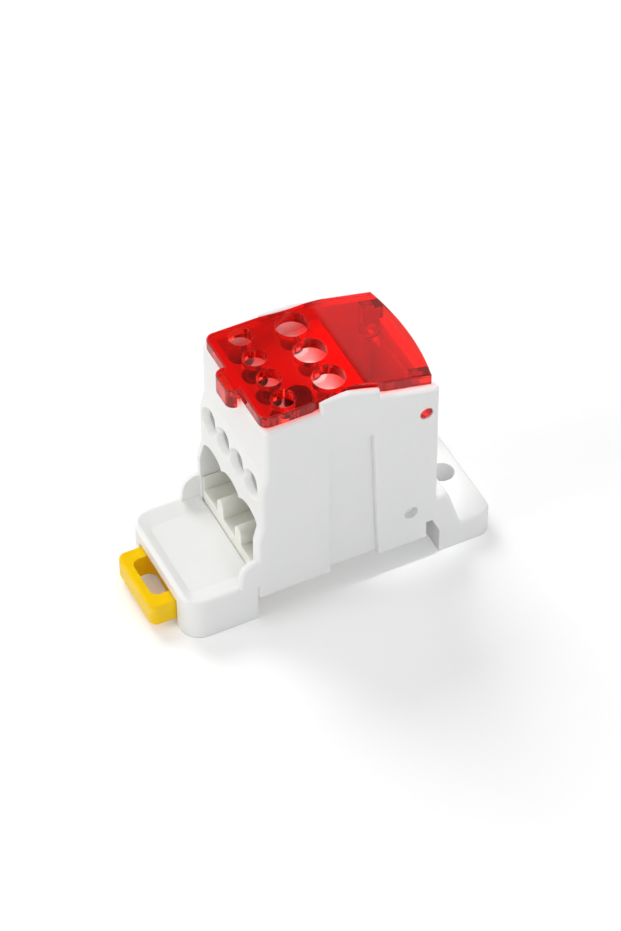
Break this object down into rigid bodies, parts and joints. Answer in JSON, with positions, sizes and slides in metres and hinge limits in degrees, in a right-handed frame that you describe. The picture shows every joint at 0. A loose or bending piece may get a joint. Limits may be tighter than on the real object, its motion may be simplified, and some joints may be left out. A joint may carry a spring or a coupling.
{
  "type": "terminal distribution block",
  "caption": "Distribution block for a 35 mm rail, with wire entries in front, a clear hinged cover over its clamp screws, a screw foot and a pull clip.",
  "frame": {"origin": "middle of the rail, on the seat that touches the rail's flanges", "axes": "+X from the wire entries and the pull clip to the fixed hook and the screw foot, +Y along the rail, +Z away from the rail"},
  "size_m": [0.0646, 0.025, 0.0471],
  "materials": {
    "body": "semi-matt moulded plastic, light warm grey",
    "insert": "semi-matt moulded plastic, light warm grey",
    "cover": "clear red, polished",
    "clip": "glossy yellow",
    "conductor": "dull plated metal",
    "clamp_screw": "dull zinc plated steel",
    "fixing_screw": "dark steel"
  },
  "bodies": {
    "base": {"housing": "body", "base_insert": "insert", "conductor_block": "conductor", "block_fixing_screw": "fixing_screw"},
    "cover": {"cover": "cover"},
    "rail_clip": {"rail_clip": "clip"},
    "small_clamp_screw_1": {"small_clamp_screw_1": "clamp_screw"},
    "small_clamp_screw_2": {"small_clamp_screw_2": "clamp_screw"},
    "small_clamp_screw_3": {"small_clamp_screw_3": "clamp_screw"},
    "small_clamp_screw_4": {"small_clamp_screw_4": "clamp_screw"},
    "large_clamp_screw_1": {"large_clamp_screw_1": "clamp_screw"},
    "large_clamp_screw_2": {"large_clamp_screw_2": "clamp_screw"},
    "large_clamp_screw_3": {"large_clamp_screw_3": "clamp_screw"}
  },
  "joints": [
    {"name": "cover_hinge", "type": "hinge", "parent": "base", "child": "cover", "pos_m": [0.01465, 0, 0.0309], "axis": [0, 1, 0], "range_deg": [0, 105]},
    {"name": "clip_slide", "type": "slide", "parent": "base", "child": "rail_clip", "axis": [-1, 0, 0], "range_m": [0, 0.003], "stiffness_N_per_m": 1500, "springref_m": -0.0005},
    {"name": "small_screw_feed_1", "type": "slide", "parent": "base", "child": "small_clamp_screw_1", "axis": [0, 0, -1], "range_m": [0, 0.0081]},
    {"name": "small_screw_feed_2", "type": "slide", "parent": "base", "child": "small_clamp_screw_2", "axis": [0, 0, -1], "range_m": [0, 0.0075]},
    {"name": "small_screw_feed_3", "type": "slide", "parent": "base", "child": "small_clamp_screw_3", "axis": [0, 0, -1], "range_m": [0, 0.0073]},
    {"name": "small_screw_feed_4", "type": "slide", "parent": "base", "child": "small_clamp_screw_4", "axis": [0, 0, -1], "range_m": [0, 0.003]},
    {"name": "large_screw_feed_1", "type": "slide", "parent": "base", "child": "large_clamp_screw_1", "axis": [0, 0, -1], "range_m": [0, 0.0028]},
    {"name": "large_screw_feed_2", "type": "slide", "parent": "base", "child": "large_clamp_screw_2", "axis": [0, 0, -1], "range_m": [0, 0.0028]},
    {"name": "large_screw_feed_3", "type": "slide", "parent": "base", "child": "large_clamp_screw_3", "axis": [0, 0, -1], "range_m": [0, 0.0028]}
  ]
}
